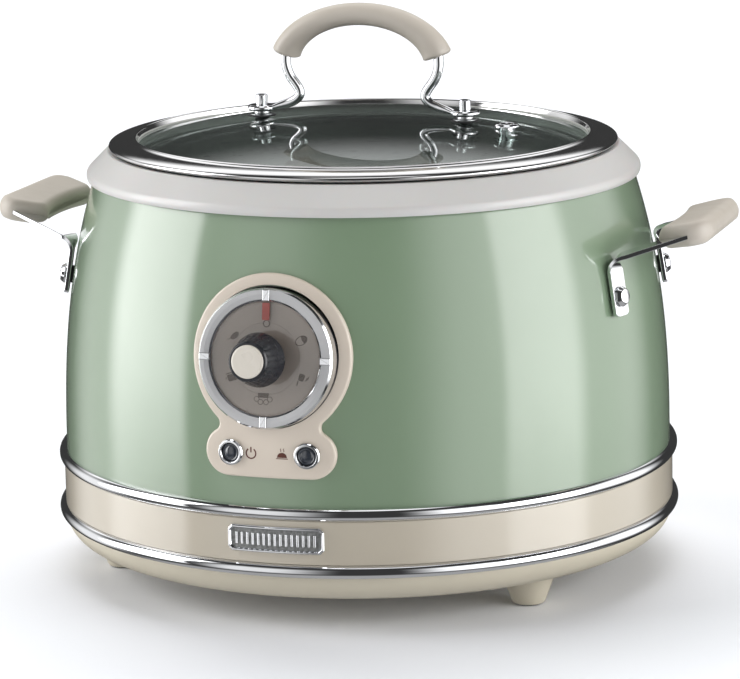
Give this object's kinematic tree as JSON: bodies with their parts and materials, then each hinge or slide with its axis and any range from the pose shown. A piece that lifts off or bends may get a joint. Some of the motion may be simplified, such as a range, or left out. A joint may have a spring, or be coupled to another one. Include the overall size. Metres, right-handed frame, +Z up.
{
  "type": "rice cooker",
  "caption": "Round free-standing rice cooker with a barrel body, lift-out pot, glass lid with an arched handle, side handles, timer dial and push buttons.",
  "frame": {"origin": "the middle of the footprint, at table height; the axis of the round body stands 12.16 mm behind it", "axes": "+Z up, -Y the front with the control panel, the side handles along X, +Y the back with the power inlet"},
  "size_m": [0.3518, 0.3236, 0.2677],
  "materials": {
    "cream_plastic": "satin moulded plastic",
    "foot_rubber": "matt rubber",
    "screw_steel": "plated screws",
    "chrome_trim": "polished chrome plating",
    "band_plastic": "semi-gloss moulded plastic",
    "badge_metal": "chrome frame around a grained grey field",
    "green_enamel": "high-gloss enamel over sheet steel",
    "collar_plastic": "semi-gloss white plastic",
    "panel_plastic": "satin moulded plastic",
    "dark_plastic": "moulded black plastic",
    "dial_print": "printed matt film",
    "shaft_metal": "turned aluminium",
    "pointer_clear": "clear moulded plastic",
    "pointer_red": "red moulded plastic",
    "button_plastic": "dark translucent plastic",
    "spring_steel": "drawn spring wire",
    "board_green": "glass-fibre circuit board",
    "grip_plastic": "satin heat-resistant plastic",
    "spacer_rubber": "black rubber",
    "liner_steel": "pressed aluminised sheet",
    "heater_band": "flat band heater in a steel sheath",
    "cast_aluminium": "cast and turned aluminium",
    "element_sheath": "heat-tinted tube",
    "fuse_ceramic": "heat-resistant sleeve",
    "relay_plastic": "moulded relay case",
    "transformer_tape": "laminated core in yellow tape",
    "pin_brass": "nickel-plated brass",
    "pot_coating": "brushed aluminium with a grey lining",
    "lid_glass": "clear tempered glass",
    "rim_steel": "polished stainless steel",
    "gasket_silicone": "translucent silicone"
  },
  "bodies": {
    "root": {"base_pan": "cream_plastic", "feet": "cream_plastic", "foot_pads": "foot_rubber", "foot_screws": "screw_steel", "lower_trim_ring": "chrome_trim", "base_band": "band_plastic", "badge_plate": "badge_metal", "upper_trim_ring": "chrome_trim", "body_shell": "green_enamel", "top_collar": "collar_plastic", "control_panel": "panel_plastic", "dial_bezel": "chrome_trim", "dial_housing": "dark_plastic", "dial_face": "dial_print", "rotary_switch": "dark_plastic", "button_bezels": "chrome_trim", "power_button_spring": "spring_steel", "keep_warm_button_spring": "spring_steel", "micro_switches": "dark_plastic", "control_board": "board_green", "left_handle_straps": "chrome_trim", "right_handle_straps": "chrome_trim", "left_handle_grip": "grip_plastic", "right_handle_grip": "grip_plastic", "handle_rivets": "chrome_trim", "handle_spacers": "spacer_rubber", "pot_well": "liner_steel", "side_heater_band": "heater_band", "chassis_tray": "liner_steel", "heater_plate": "cast_aluminium", "heating_element": "element_sheath", "plate_screws": "screw_steel", "sensor_spring": "spring_steel", "sensor_guide": "liner_steel", "thermal_fuse": "fuse_ceramic", "power_board": "board_green", "power_relay": "relay_plastic", "transformer": "transformer_tape", "power_inlet": "dark_plastic", "inlet_pins": "pin_brass", "inlet_screws": "screw_steel"},
    "knob": {"knob_shaft": "shaft_metal", "knob_body": "dark_plastic", "knob_cap": "panel_plastic", "pointer_disc": "pointer_clear", "pointer_needle": "pointer_red"},
    "power_key": {"power_button": "button_plastic"},
    "keep_warm_key": {"keep_warm_button": "button_plastic"},
    "temp_sensor": {"sensor_cup": "cast_aluminium"},
    "pot": {"inner_pot": "pot_coating"},
    "lid": {"lid_glass": "lid_glass", "lid_rim": "rim_steel", "lid_gasket": "gasket_silicone", "lid_handle_legs": "chrome_trim", "lid_handle_grip": "grip_plastic", "lid_bolts": "chrome_trim", "lid_spacers": "screw_steel", "lid_washers": "spacer_rubber", "lid_nuts": "screw_steel", "steam_vent": "chrome_trim"}
  },
  "joints": [
    {"name": "pot_lift", "type": "slide", "parent": "root", "child": "pot", "axis": [0, 0, 1], "range_m": [0, 0.15]},
    {"name": "lid_lift", "type": "slide", "parent": "pot", "child": "lid", "axis": [0, 0, 1], "range_m": [0, 0.1]},
    {"name": "knob_turn", "type": "hinge", "parent": "root", "child": "knob", "pos_m": [0, -0.12945, 0.1258], "axis": [0, 0.989, -0.1478], "range_deg": [0, 300]},
    {"name": "power_press", "type": "slide", "parent": "root", "child": "power_key", "axis": [0.1209, 0.9927, 0], "range_m": [0, 0.0018], "stiffness_N_per_m": 300, "deforming": ["power_button_spring"]},
    {"name": "keep_warm_press", "type": "slide", "parent": "root", "child": "keep_warm_key", "axis": [-0.1209, 0.9927, 0], "range_m": [0, 0.0018], "stiffness_N_per_m": 300, "deforming": ["keep_warm_button_spring"]},
    {"name": "sensor_rise", "type": "slide", "parent": "root", "child": "temp_sensor", "axis": [0, 0, 1], "range_m": [0, 0.0042], "deforming": ["sensor_spring"]}
  ],
  "couplings": [
    {"joint": "sensor_rise", "follows": "pot_lift", "ratio": 0.0267}
  ]
}
